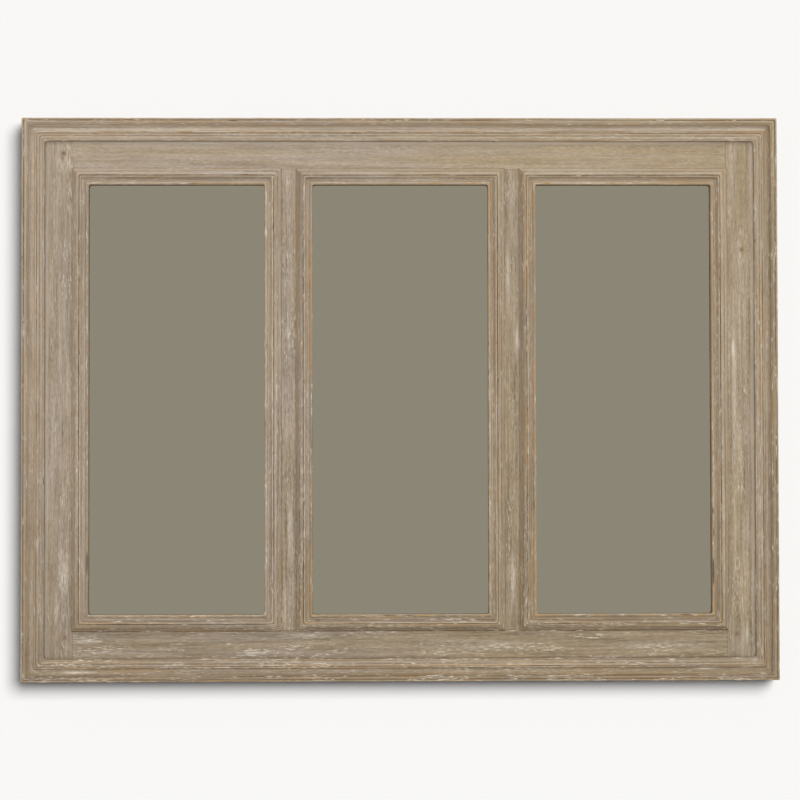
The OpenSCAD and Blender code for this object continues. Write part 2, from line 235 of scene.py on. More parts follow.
@dataclass(frozen=True)
class LimedPine:
    """Pine, wire-brushed, filled with white liming wax and rubbed back.

    Brushing opens the soft grain, so the eye gets fine lines along each board: pale where wax stayed in
    them and dark where it did not, over a dull tan ground. The surface is matt with a faint wax sheen.
    """

    name: str
    seed: float
    along: Along = Along.UPRIGHT
    ground: str = "#a79889"
    warm: str = "#ab9778"
    # Paler colour for thick wash, and for painted light on the mouldings' lit faces
    whitened_and_lit: str = "#dccdb9"
    wax: str = "#e2d6c3"
    pore: str = "#7d6c56"
    wax_share: float = 0.6
    figure: float = 1.0
    tone: float = 1.0
    stretch: float = 1.0
    knots: tuple[Knot, ...] = ()
    streaks: tuple[Streak, ...] = ()
    bare: str = "#b9976c"
    knot_rim: str = "#8f6b4c"
    knot_heart: str = "#6b5139"

    def lines(self, tree: Tree, grain: Socket, width: float, length: float, turn: float,
              span: tuple[float, float] = (0.3, 0.7), detail: float = 2.0, amount: float = 1.0) -> Socket:
        """Draws noise out along the grain.

        Args:
            tree: Node tree that takes the nodes.
            grain: Place as across, through and along the grain, in millimetres.
            width: Width of one line.
            length: Length of one line.
            turn: Which of this finish's patterns it is.
            span: Values of the noise that become nothing and the whole amount.
            detail: Finer layers of the noise.
            amount: The greatest strength.

        Returns:
            Strength of the line, from 0 to the amount.
        """
        start = (self.seed * 17.3 + turn * 5.1, self.seed * 3.7 + turn * 9.7, self.seed * 7.9 - turn * 2.3)
        if length > 50:
            length *= self.stretch
        place = add(tree, "VectorMath", {0: grain, 1: (1 / width, 1 / width, 1 / length), 2: start},
                    operation="MULTIPLY_ADD")
        noise = add(tree, "TexNoise", {"Vector": place, "Scale": 1.0, "Detail": detail, "Roughness": 0.6})
        return add(tree, "MapRange", {"Value": noise, 1: span[0], 2: span[1], 4: amount},
                   interpolation_type="SMOOTHSTEP")

    def spot(self, tree: Tree, grain: Socket, x: float, z: float, width: float, length: float) -> Socket:
        """Fades from 1 at a place on the board to 0 at the rim of an oval round it.

        Args:
            tree: Node tree that takes the nodes.
            grain: Place as across, through and along the grain, in millimetres.
            x: Where the middle is, to the right of the frame's middle.
            z: Where the middle is, above the frame's middle.
            width: Half the oval's width across the grain.
            length: Half its length along the grain.

        Returns:
            The fade, from 0 to 1.
        """
        middle = (-x, 0, -z) if self.along is Along.UPRIGHT else (-z, 0, x)
        away = add(tree, "VectorMath", {0: grain, 1: middle}, operation="ADD")
        away = add(tree, "VectorMath", {0: away, 1: (1 / width, 0, 1 / length)}, operation="MULTIPLY")
        far = add(tree, "VectorMath", {0: away}, out="Value", operation="LENGTH")
        return add(tree, "MapRange", {"Value": far, 1: 1.0, 2: 0.0}, interpolation_type="SMOOTHSTEP")

    def coats(self, tree: Tree, colour: Socket | Colour, coats: Iterable[tuple]) -> Socket:
        """Lays coats of colour over one another.

        Args:
            tree: Node tree that takes the nodes.
            colour: The colour under them.
            coats: Each coat's colour, followed by the strengths whose product is its share.

        Returns:
            The colour with the coats on it.
        """
        for tone, share, *strengths in coats:
            for strength in strengths:
                share = add(tree, "Math", {0: share, 1: strength}, operation="MULTIPLY")
            colour = add(tree, "Mix", {0: share, 6: colour, 7: linear(tone)}, out=2, data_type="RGBA")
        return colour

    def board_place(self, tree: Tree) -> Socket:
        """Turns the object's own coordinates to across, through and along the grain, bent round knots.

        Args:
            tree: Node tree that takes the nodes.

        Returns:
            The place in millimetres.
        """
        turn = 0 if self.along is Along.UPRIGHT else math.pi / 2
        here = add(tree, "TexCoord", out="Object")
        grain = add(tree, "Mapping", {"Vector": here, "Rotation": (0, turn, 0), "Scale": (1000, 1000, 1000)})
        for knot in self.knots:
            pull = self.spot(tree, grain, knot.x, knot.z, knot.radius * 3.2, knot.radius * 9)
            middle = knot.x if self.along is Along.UPRIGHT else knot.z
            aside = add(tree, "VectorMath", {0: grain, 1: (middle, 0, 0)}, operation="SUBTRACT")
            aside = add(tree, "VectorMath", {0: aside, 1: (-0.5, 0, 0)}, operation="MULTIPLY")
            aside = add(tree, "VectorMath", {0: aside, "Scale": pull}, operation="SCALE")
            grain = add(tree, "VectorMath", {0: grain, 1: aside}, operation="ADD")
        return grain

    def brushed(self, tree: Tree, grain: Socket, here: Socket, up: Socket) -> tuple[Socket, Socket]:
        """Shades the wood by its figure: clouds, broad bands, long brushed lines and short grit.

        Real lines are 0.3 to 0.8 mm wide. They are drawn 1.6 to 3 mm wide, and the grit 1.4 mm, so that they
        show in the picture. Sanding left the upper part of the frame smoother.

        Args:
            tree: Node tree that takes the nodes.
            grain: Place as across, through and along the grain, in millimetres.
            here: Place in the frame, in metres.
            up: Its height.

        Returns:
            The shade, around 1, and the grit, from 0 to 1.
        """
        grit = self.lines(tree, grain, 1.4, 8, 2, (0.2, 0.8), 1)
        # The clouds of the wash are about 45 mm across
        clouds = add(tree, "TexNoise", {"Vector": here, "Scale": 22.0, "Detail": 2.0})
        patterns = (
            (clouds, 0.4),
            (self.lines(tree, grain, 24, 420, 3, (0.2, 0.8), 1), 0.2),
            (self.lines(tree, grain, 8, 170, 10, (0.2, 0.8), 1), 0.3),
            (self.lines(tree, grain, 3.2, 140, 9, (0.2, 0.8), 2), 0.42),
            (self.lines(tree, grain, 1.6, 40, 11, (0.2, 0.8), 1), 0.3),
            (grit, 0.4),
        )
        shade = -self.figure * sum(amount for _, amount in patterns) / 2
        for pattern, amount in patterns:
            shade = add(tree, "Math", {0: pattern, 1: amount * self.figure, 2: shade},
                        operation="MULTIPLY_ADD")
        calm = add(tree, "MapRange", {"Value": up, 1: -0.1, 2: 0.33, 3: 1.0, 4: 0.68})
        return add(tree, "Math", {0: shade, 1: calm, 2: 1.0}, operation="MULTIPLY_ADD"), grit

    def left_wax(self, tree: Tree, grain: Socket) -> Socket:
        """Leaves wax in flecks along the grain, in some patches of the board and in the streaks, some painted
        light.

        Real flecks are finer than 1.4 mm, and are drawn that wide so that they show.

        Args:
            tree: Node tree that takes the nodes.
            grain: Place as across, through and along the grain, in millimetres.

        Returns:
            How much wax there is.
        """
        flecks = self.lines(tree, grain, 1.4, 11, 5, (0.56, 0.65), amount=self.wax_share)
        patches = self.lines(tree, grain, 16, 90, 6, (0.44, 0.64))
        wax = add(tree, "Math", {0: flecks, 1: patches}, operation="MULTIPLY")
        for streak in self.streaks:
            near = self.spot(tree, grain, streak.x, streak.z, streak.width, streak.length)
            torn = self.lines(tree, grain, 1.5, 13, 7 + streak.x, (0.4 - streak.close, 0.6 - streak.close), 3,
                              streak.strength)
            thick = add(tree, "Math", {0: near, 1: torn}, operation="MULTIPLY")
            wax = add(tree, "Math", {0: wax, 1: thick}, operation="MAXIMUM")
        return wax

    def surface(self, tree: Tree, grain: Socket, wash: Socket | float = 1.0) -> tuple[Socket, Socket]:
        """Lays grain, wash, pores and wax over one another, with painted light paler at the top, darker low
        down.

        Args:
            tree: Node tree that takes the nodes.
            grain: Place as across, through and along the grain, in millimetres.
            wash: How pale the wash is, 1 for the finish's own tone, with painted light and shade on
                mouldings.

        Returns:
            Colour, and height of the surface from 0 to 1.
        """
        here = add(tree, "TexCoord", out="Object")
        right, up = (add(tree, "SeparateXYZ", {0: here}, out=i) for i in (0, 2))
        shade, grit = self.brushed(tree, grain, here, up)
        # Where the wash is thin the wood is darker and browner, and where it is thick it is paler and whiter.
        # Yellow wood shows through on the right and low down, in bands of early wood about 14 mm wide
        warmth = add(tree, "MapRange", {"Value": right, 1: -0.12, 2: 0.12, 3: -0.05, 4: 0.35})
        for pattern, amount in ((self.lines(tree, grain, 14, 260, 1), 0.5), (shade, -1.1)):
            warmth = add(tree, "Math", {0: pattern, 1: amount, 2: warmth}, operation="MULTIPLY_ADD")
        worn_low = add(tree, "MapRange", {"Value": up, 1: -0.35, 2: 0.0, 3: 1.5, 4: 1.23})
        warmth = add(tree, "Math", {0: warmth, 1: worn_low}, operation="ADD", use_clamp=True)
        # A wash value above 1 mixes in the paler colour: thick wash, and on the mouldings painted light
        pale = add(tree, "MapRange", {"Value": wash, 1: 1.0, 2: 1.8, 4: 0.96})
        colour = self.coats(tree, linear(self.ground), ((self.warm, warmth), (self.whitened_and_lit, pale)))
        # Painted light: the wood is made paler at the top and darker low down, as light falls from above, and
        # this runs over the joints. A wash value below 1 darkens it: thinner wash, and on the mouldings
        # painted shade
        thin = add(tree, "Math", {0: wash, 1: 1.0}, operation="MINIMUM")
        high = add(tree, "MapRange", {"Value": up, 1: 0.3, 2: 0.4, 3: 1.0, 4: 1.06})
        low = add(tree, "MapRange", {"Value": up, 1: -0.4, 2: 0.02, 3: 0.81 * self.tone, 4: self.tone})
        for factor in (thin, high, low):
            shade = add(tree, "Math", {0: shade, 1: factor}, operation="MULTIPLY")
        colour = add(tree, "HueSaturation", {"Value": shade, "Color": colour})
        pores = self.lines(tree, grain, 1.4, 22, 4, (0.6, 0.72))
        specks = self.lines(tree, grain, 1.8, 3, 8, (0.7, 0.76))
        wax = self.left_wax(tree, grain)
        coats = [(self.pore, pores, 0.45 * self.figure), (self.wax, wax), (self.pore, specks, 0.35)]
        ovals = ((self.knot_rim, 1.0, 1.6, 0.6), (self.knot_heart, 0.4, 0.65, 1.0))
        for knot in self.knots:
            for tone, wide, long, depth in ovals:
                oval = self.spot(tree, grain, knot.x, knot.z, knot.radius * wide, knot.radius * long)
                coats.append((tone, oval, knot.depth * depth))
        height = grit
        for pattern, amount in ((pores, -0.9), (wax, 0.5)):
            height = add(tree, "Math", {0: pattern, 1: amount, 2: height}, operation="MULTIPLY_ADD")
        return self.coats(tree, colour, coats), height

    def raw_back(self, tree: Tree, colour: Socket) -> Socket:
        """Leaves the faces that look at the wall unfinished.

        Args:
            tree: Node tree that takes the nodes.
            colour: The finished colour.

        Returns:
            The colour with bare wood on those faces.
        """
        normal = add(tree, "TexCoord", out="Normal")
        looks_back = add(tree, "SeparateXYZ", {0: normal}, out="Y")
        share = add(tree, "MapRange", {"Value": looks_back, 1: 0.5, 2: 0.7, 4: 0.97})
        plain = add(tree, "HueSaturation", {"Saturation": 0.5, "Color": colour})
        plain = add(tree, "Mix", {0: 0.8, 6: plain, 7: linear(self.bare)}, out=2, data_type="RGBA")
        return add(tree, "Mix", {0: share, 6: colour, 7: plain}, out=2, data_type="RGBA")

    def close(self, tree: Tree, colour: Socket, height: Socket) -> None:
        """Closes the material: matt wood with a faint sheen of wax, and its back left raw.

        Args:
            tree: Node tree that takes the nodes.
            colour: The surface's colour.
            height: The surface's height from 0 to 1.
        """
        rough = add(tree, "MapRange", {"Value": height, 1: 0.0, 2: 1.2, 3: 0.72, 4: 0.56})
        close_material(tree, self.raw_back(tree, colour), height, 0.5, 0.25, Roughness=rough, IOR=1.45)

    def build(self) -> bpy.types.Material:
        """Builds the finish for one board."""
        material, tree = new_material(self.name)
        self.close(tree, *self.surface(tree, self.board_place(tree)))
        return material


@dataclass(frozen=True)
class LimedMoulding(LimedPine):
    """The same brushed and limed pine, on a run moulding.

    The wash is rubbed through to yellow wood in long patches and along the crests, brown grime with painted
    shade sits in the quirks in long broken lines, and white wax clings in flecks beside both. Where an edge
    is knocked off, brown wood shows. The wash's tones hold painted light and shade too.
    """

    figure: float = 0.75
    stretch: float = 2.5
    rubbed: str = "#b49263"
    brown: str = "#6b5741"
    rub: float = 1.0

    def build(self) -> bpy.types.Material:
        """Builds the finish for a moulding, which carries its place, marks, painted shade and wash as
        attributes.
        """
        material, tree = new_material(self.name)
        grain = add(tree, "Attribute", out="Vector", attribute_name="grain")
        marks = add(tree, "Attribute", out="Vector", attribute_name="wear")
        wash = add(tree, "Attribute", out="Fac", attribute_name="wash")
        # The marks: grime with painted shade in the quirks, rubbing on the crests, and chips
        quirk, crest, chip = (add(tree, "SeparateXYZ", {0: marks}, out=i) for i in range(3))
        edge = add(tree, "Math", {0: quirk, 1: crest}, operation="MAXIMUM")
        some = add(tree, "MapRange", {"Value": edge, 3: 0.25, 4: 1.0})
        some = add(tree, "Math", {0: some, 1: self.lines(tree, grain, 10, 48, 15, (0.44, 0.62))},
                   operation="MULTIPLY")
        colour, height = self.surface(tree, grain, wash)
        colour = self.coats(tree, colour, (
            (self.rubbed, self.lines(tree, grain, 4.5, 90, 16, (0.5, 0.62)), 0.45 * self.rub),
            (self.rubbed, crest, self.lines(tree, grain, 2.6, 40, 12, (0.5, 0.6)), 0.85 * self.rub),
            (self.brown, self.lines(tree, grain, 1.7, 150, 17, (0.58, 0.7)), 0.42),
            # Brown grime with painted shade in the quirks
            (self.brown, quirk, self.lines(tree, grain, 2.4, 70, 13, (0.28, 0.54)), 0.95),
            (self.wax, some, self.lines(tree, grain, 1.4, 13, 14, (0.53, 0.64)), 1.5 * self.wax_share),
            (self.brown, chip),
        ))
        self.close(tree, colour, height)
        return material


@dataclass(frozen=True)
class SilveredGlass:
    """Float glass silvered on its back: a flat, sharp reflection, tinted with a painted reflection of a room.
    """

    name: str = "silvered_glass_with_painted_reflection"
    # Painted reflection: the dull olive tone of a room, which the white studio in the mirror takes on
    tone: str = "#8c8676"
    edge: str = "#7f8a7c"

    def build(self) -> bpy.types.Material:
        """Builds the finish."""
        material, tree = new_material(self.name)
        normal = add(tree, "TexCoord", out="Normal")
        forward = add(tree, "SeparateXYZ", {0: normal}, out="Y")
        front = add(tree, "MapRange", {"Value": forward, 1: -0.5, 2: -0.9})
        # A slight ripple in the silver, 60 mm long and far too faint to bend a reflection
        here = add(tree, "TexCoord", out="Object")
        ripple = add(tree, "TexNoise", {"Vector": here, "Scale": 16.0, "Detail": 1.0})
        value = add(tree, "MapRange", {"Value": ripple, 3: 0.995, 4: 1.005})
        # The silver's colour, with the painted reflection in it
        silver = add(tree, "HueSaturation", {"Value": value, "Color": linear(self.tone)})
        colour = add(tree, "Mix", {0: front, 6: linear(self.edge), 7: silver}, out=2, data_type="RGBA")
        shader = add(tree, "BsdfPrincipled", {"Base Color": colour, "Metallic": 1.0, "Roughness": 0.015})
        add(tree, "OutputMaterial", {"Surface": shader})
        return material


@dataclass(frozen=True)
class BarePine:
    """Planed pine left raw: warm pale wood with faint darker growth lines, and no shine."""

    name: str
    along: Along
    colour: str = "#c5a57c"
    line: str = "#a37c50"

    def build(self) -> bpy.types.Material:
        """Builds the finish."""
        material, tree = new_material(self.name)
        turn = 0 if self.along is Along.UPRIGHT else math.pi / 2
        here = add(tree, "TexCoord", out="Object")
        grain = add(tree, "Mapping", {"Vector": here, "Rotation": (0, turn, 0), "Scale": (1000, 1000, 1000)})
        # Growth lines are about 3 mm apart and run for 150 mm
        place = add(tree, "VectorMath", {0: grain, 1: (1 / 3, 1 / 3, 1 / 150)}, operation="MULTIPLY")
        growth = add(tree, "TexNoise", {"Vector": place, "Scale": 1.0, "Detail": 4.0, "Roughness": 0.6})
        share = add(tree, "MapRange", {"Value": growth, 1: 0.4, 2: 0.75, 4: 0.7})
        colour = add(tree, "Mix", {0: share, 6: linear(self.colour), 7: linear(self.line)}, out=2,
                     data_type="RGBA")
        close_material(tree, colour, growth, 0.4, 0.15, Roughness=0.78, IOR=1.45)
        return material


@dataclass(frozen=True)
class Hardboard:
    """Hardboard, its screen side out: brown pressed fibre with a fine mesh print and paler fibres."""

    name: str = "pressed_hardboard"
    colour: str = "#7d5c3b"
    fibre: str = "#9d7b54"

    def build(self) -> bpy.types.Material:
        """Builds the finish."""
        material, tree = new_material(self.name)
        here = add(tree, "TexCoord", out="Object")
        cloud = add(tree, "TexNoise", {"Vector": here, "Scale": 22.0, "Detail": 5.0, "Roughness": 0.65})
        # Fibres 2 mm across, and the print of the press screen at 2.5 mm, coarser than real so that it shows
        fibres = add(tree, "TexNoise", {"Vector": here, "Scale": 500.0, "Detail": 2.0, "Distortion": 1.5})
        share = add(tree, "MapRange", {"Value": fibres, 1: 0.5, 2: 0.75, 4: 0.6})
        colour = add(tree, "Mix", {0: share, 6: linear(self.colour), 7: linear(self.fibre)}, out=2,
                     data_type="RGBA")
        value = add(tree, "MapRange", {"Value": cloud, 1: 0.3, 2: 0.7, 3: 0.86, 4: 1.14})
        colour = add(tree, "HueSaturation", {"Value": value, "Color": colour})
        screen = add(tree, "VectorMath", {0: here, 1: (2 * math.pi / 0.0025,) * 3}, operation="MULTIPLY")
        screen = add(tree, "VectorMath", {0: screen}, operation="SINE")
        print_x, print_z = (add(tree, "SeparateXYZ", {0: screen}, out=i) for i in (0, 2))
        mesh_print = add(tree, "Math", {0: print_x, 1: print_z}, operation="ADD")
        height = add(tree, "Math", {0: mesh_print, 1: fibres}, operation="ADD")
        close_material(tree, colour, height, 0.35, 0.12, Roughness=0.82, IOR=1.5)
        return material


@dataclass(frozen=True)
class ZincPlate:
    """Steel, bright zinc plated in a barrel: cool grey metal, clouded and finely scuffed."""

    name: str
    colour: str = "#b9bdc0"
    dull: str = "#8f9396"
    roughness: float = 0.32

    def build(self) -> bpy.types.Material:
        """Builds the finish."""
        material, tree = new_material(self.name)
        # The plating is clouded over about 4 mm, and its scuffs are 0.7 mm across, coarser than real
        here = add(tree, "TexCoord", out="Object")
        cloud = add(tree, "TexNoise", {"Vector": here, "Scale": 260.0, "Detail": 3.0})
        scuff = add(tree, "TexNoise", {"Vector": here, "Scale": 1400.0, "Detail": 2.0, "Distortion": 2.0})
        share = add(tree, "MapRange", {"Value": cloud, 1: 0.4, 2: 0.7, 4: 0.7})
        colour = add(tree, "Mix", {0: share, 6: linear(self.colour), 7: linear(self.dull)}, out=2,
                     data_type="RGBA")
        rough = add(tree, "MapRange",
                    {"Value": cloud, 1: 0.3, 2: 0.7, 3: self.roughness - 0.08, 4: self.roughness + 0.12})
        close_material(tree, colour, scuff, 0.25, 0.03, Roughness=rough, Metallic=1.0)
        return material


@dataclass(frozen=True)
class MouldedRubber:
    """Black rubber, compression moulded: dull near-black with a fine bloom and a soft highlight."""

    name: str = "moulded_rubber"
    colour: str = "#2b2a29"
    bloom: str = "#45433f"

    def build(self) -> bpy.types.Material:
        """Builds the finish."""
        material, tree = new_material(self.name)
        # The bloom lies in clouds 3 mm across, and the grit of the mould is 0.7 mm, coarser than real
        here = add(tree, "TexCoord", out="Object")
        cloud = add(tree, "TexNoise", {"Vector": here, "Scale": 300.0, "Detail": 4.0})
        share = add(tree, "MapRange", {"Value": cloud, 1: 0.45, 2: 0.75, 4: 0.6})
        colour = add(tree, "Mix", {0: share, 6: linear(self.colour), 7: linear(self.bloom)}, out=2,
                     data_type="RGBA")
        grit = add(tree, "TexNoise", {"Vector": here, "Scale": 1500.0, "Detail": 1.0})
        close_material(tree, colour, grit, 0.3, 0.05, Roughness=0.62, IOR=1.52)
        return material


@dataclass(frozen=True)
class StudioPaper:
    """Matt white background paper, seen on its face only and left out of the light on the object.

    Reflections pass it, so that metal at the back shows the white room and not the shadowed wall beside it.
    Its colour is divided by the light that the paper's own lamp and the room throw on it.
    """

    name: str = "studio_paper"
    colour: str = "#f9f8f6"
    light: float = 14.25

    def build(self) -> bpy.types.Material:
        """Builds the finish."""
        material, tree = new_material(self.name)
        seen = add(tree, "LightPath", out="Is Camera Ray")
        behind = add(tree, "NewGeometry", out="Backfacing")
        seen = add(tree, "Math", {0: seen, 1: behind}, operation="SUBTRACT", use_clamp=True)
        tone = [channel / self.light for channel in linear(self.colour)[:3]]
        paper = add(tree, "BsdfDiffuse", {"Color": (*tone, 1.0)})
        clear = add(tree, "BsdfTransparent")
        shader = add(tree, "MixShader", {0: seen, 1: clear, 2: paper})
        add(tree, "OutputMaterial", {"Surface": shader})
        return material


# Mouldings


class Grit:
    """Smooth, repeatable noise on a plane, from 0 to 1."""

    def __init__(self, seed: int) -> None:
        """Fills the lattice.

        Args:
            seed: Which pattern it is.
        """
        self.cells = np.random.default_rng(seed).random((97, 89))

    def __call__(self, x: np.ndarray, y: np.ndarray) -> np.ndarray:
        """Reads the noise.

        Args:
            x: First coordinate, in cells.
            y: Second coordinate, in cells.

        Returns:
            The noise at each point.
        """
        x, y = np.broadcast_arrays(x, y)
        i, j = np.floor(x).astype(int), np.floor(y).astype(int)
        fx, fy = x - i, y - j
        fx, fy = fx * fx * (3 - 2 * fx), fy * fy * (3 - 2 * fy)
        rows, columns = self.cells.shape
        corner = [[self.cells[(i + a) % rows, (j + b) % columns] for b in (0, 1)] for a in (0, 1)]
        return ((corner[0][0] * (1 - fx) + corner[1][0] * fx) * (1 - fy)
                + (corner[0][1] * (1 - fx) + corner[1][1] * fx) * fy)


@dataclass(frozen=True)
class WashAndShading:
    """How the wash was left on a length of moulding, with light and shade painted into it.

    Tones say how pale it is on each part of the section, 1 for the wood's own tone. Besides the wash they
    hold
    painted light and shade: paler where a face turns to the light, darker where it is shaded. The rest is how
    much grime and painted shade it holds, how far it is rubbed through, how many flecks of wax it has, and
    where, in from the outer edge, further lines of grime and painted shade run.
    """

    wash_and_shading_tones: tuple[float, ...]
    grime_and_shade: float = 1.0
    rub: float = 1.0
    flecks: float = 0.65
    seams: tuple[float, ...] = ()


@dataclass(frozen=True)
class Zones:
    """Where wash, grime and painted shade lie on a section, in millimetres in from the outer edge.

    Parts are the spans that have a tone each. The next field gives the share of grime and painted shade that
    quirks hold at some places, and the last gives places where grime and painted shade sit though the section
    hardly turns.
    """

    parts: tuple[tuple[float, float], ...]
    grime_and_shade_share: tuple[tuple[float, float], ...]
    seams: tuple[float, ...]


# Spacing of a section's samples, how far brushing, wear and wax round it off, and how wide a crest or a
# quirk may be to count as one, all in millimetres
STEP, BRUSHED, WORN, WAXED, FELT = 0.05, 0.18, 0.5, 0.9, 1.1


@dataclass(frozen=True)
class Outline:
    """A moulding's section, sampled for sweeping: u in from the outer edge, d forward from the back."""

    points: np.ndarray
    normals: np.ndarray
    wear: np.ndarray
    wax: np.ndarray
    crest: np.ndarray
    quirk: np.ndarray
    wash: np.ndarray
    arc: np.ndarray
    hidden: np.ndarray

    @staticmethod
    def smoothed(path: np.ndarray, reach: float) -> np.ndarray:
        """Rounds a path off, as brushing or a filling of wax does.

        Args:
            path: Evenly spaced points.
            reach: How far the rounding reaches, in millimetres.

        Returns:
            The rounded path.
        """
        n = int(3 * reach / STEP)
        kernel = np.exp(-0.5 * (np.arange(-n, n + 1) * STEP / reach) ** 2)
        kernel /= kernel.sum()
        head = 2 * path[0] - path[n:0:-1]
        tail = 2 * path[-1] - path[-2 : -n - 2 : -1]
        long_path = np.vstack([head, path, tail])
        return np.stack([np.convolve(long_path[:, k], kernel, mode="valid") for k in (0, 1)], axis=1)

    def arc_of(self, u: float) -> float:
        """Run of the section, from the back of its outer side, up to a place in from the outer edge."""
        return float(self.arc[np.argmin(np.abs(self.points[:, 0] - u) + 99 * self.hidden)])

    @classmethod
    def sampled(cls, shown: list[tuple[float, float]], hidden: list[tuple[float, float]], wash: WashAndShading,
                zones: Zones) -> "Outline":
        """Samples a section, more closely where it turns.

        Args:
            shown: Fine path of the part that shows, with the wood on its right.
            hidden: Corners that close the outline.
            wash: How the wash was left on it, with painted light and shade.
            zones: Where wash, grime and painted shade lie on it.

        Returns:
            The sampled outline.
        """
        cut = np.array(shown)
        run = np.concatenate([[0], np.cumsum(np.hypot(*np.diff(cut, axis=0).T))])
        even = np.arange(0, run[-1], STEP)
        path = np.stack([np.interp(even, run, cut[:, k]) for k in (0, 1)], axis=1)
        soft = cls.smoothed(path, BRUSHED)
        tangent = np.gradient(soft, axis=0)
        tangent /= np.linalg.norm(tangent, axis=1, keepdims=True)
        normal = np.stack([-tangent[:, 1], tangent[:, 0]], axis=1)
        worn, waxed, felt = (cls.smoothed(path, reach) - path for reach in (WORN, WAXED, FELT))
        worn_out, waxed_out, bulge = ((moved * normal).sum(axis=1) for moved in (worn, waxed, felt))
        # Grime, with painted shade, spreads to about 2 mm round each quirk, wider than real so that the line
        # shows in the picture
        grime_and_shade = np.clip(bulge / 0.12 - 0.6, 0, 1)
        grime_and_shade = 2 * cls.smoothed(np.stack([grime_and_shade, grime_and_shade], axis=1), 0.55)[:, 0]
        grime_and_shade = grime_and_shade * np.interp(path[:, 0], *zip(*zones.grime_and_shade_share))
        # Painted shade, with grime, also lies along given lines where the section hardly turns
        for grime_and_shade_line in (*zones.seams, *wash.seams):
            grime_and_shade = np.maximum(grime_and_shade, 0.9 * np.exp(-(((path[:, 0] - grime_and_shade_line) / 0.7) ** 2)))
        turning = np.abs(np.gradient(np.unwrap(np.arctan2(tangent[:, 1], tangent[:, 0])))) / STEP
        count = np.concatenate([[0], np.cumsum((0.5 + 2.2 * turning[1:]) * STEP)])
        picks = np.unique(np.round(np.interp(np.linspace(0, count[-1], int(count[-1]) + 1), count,
                                             np.arange(len(even)))).astype(int))
        extra = len(hidden)

        def closed(values: np.ndarray, behind: float = 0.0) -> np.ndarray:
            """Takes the picked samples and adds one value for each hidden corner."""
            return np.concatenate([values[picks], np.full((extra, *values.shape[1:]), behind)])

        spans = [place for part in zones.parts for place in part]
        return cls(
            points=np.vstack([soft[picks], hidden]),
            normals=closed(normal),
            wear=closed(np.where(worn_out[:, None] < 0, worn, 0)),
            wax=closed(np.where(waxed_out[:, None] > 0, waxed, 0)),
            crest=closed(np.clip(-bulge / 0.15 - 0.55, 0, 1)),
            quirk=closed(np.clip(wash.grime_and_shade * grime_and_shade, 0, 1)),
            # Each point's wash tone, with painted light and shade in it
            wash=closed(np.interp(soft[:, 0], spans, np.repeat(wash.wash_and_shading_tones, 2)), 1.0),
            arc=np.concatenate([even[picks], even[-1] + 10 * np.arange(1, extra + 1)]),
            hidden=closed(np.zeros(len(even)), 1.0).astype(bool),
        )


def arc_over(u: np.ndarray, middle: float, top: float, radius: float) -> np.ndarray:
    """Height of a round above each u.

    Args:
        u: Places across the section.
        middle: Where the round's crest is.
        top: Height of the crest.
        radius: Radius of the round.

    Returns:
        The round's height, or minus infinity beside it.
    """
    inside = radius**2 - (u - middle) ** 2
    return np.where(inside >= 0, top - radius + np.sqrt(np.maximum(inside, 0)), -np.inf)


def arc_under(u: np.ndarray, middle: float, centre: float, radius: float) -> np.ndarray:
    """Height of the floor of a hollow at each u.

    Args:
        u: Places across the section.
        middle: Where the hollow's centre is.
        centre: Height of its centre.
        radius: Radius of the hollow.

    Returns:
        The floor's height, or infinity beside it.
    """
    inside = radius**2 - (u - middle) ** 2
    return np.where(inside >= 0, centre - np.sqrt(np.maximum(inside, 0)), np.inf)


